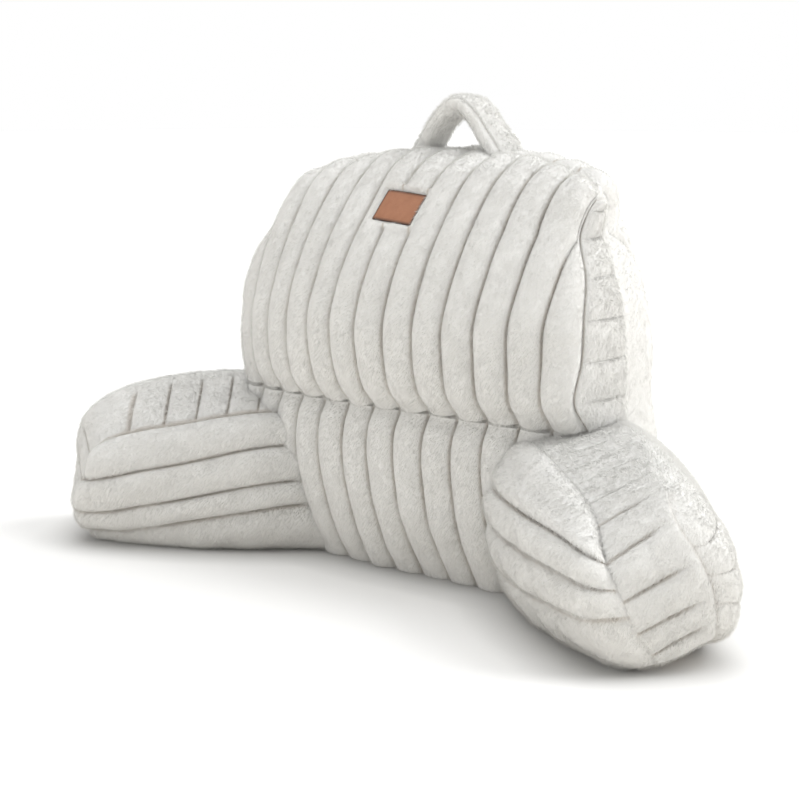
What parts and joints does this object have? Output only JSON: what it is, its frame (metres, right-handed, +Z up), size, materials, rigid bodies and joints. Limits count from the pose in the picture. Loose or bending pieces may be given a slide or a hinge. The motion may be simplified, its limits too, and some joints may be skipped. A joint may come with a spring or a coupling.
{
  "type": "backrest lumbar pillow with arms",
  "caption": "Stuffed plush backrest pillow with a channelled head roll and lumbar, forward arms, a top carry handle and a bare leather patch.",
  "frame": {"origin": "middle of the pillow's footprint, on the surface it stands on", "axes": "+Z up, the sitter faces -Y with the cushion behind, +X across the cushion to the sitter's left"},
  "size_m": [0.8924, 0.3886, 0.5161],
  "materials": {
    "plush": "cream short-pile plush, sewn into padded channels",
    "leather": "brown leather with darker burnt edges"
  },
  "bodies": {
    "root": {"back_cushion": "plush", "side_gusset_left": "plush", "side_gusset_right": "plush", "arm_left": "plush", "arm_right": "plush", "arm_band_left": "plush", "arm_band_right": "plush", "carry_handle": "plush", "leather_patch": "leather"}
  },
  "joints": []
}
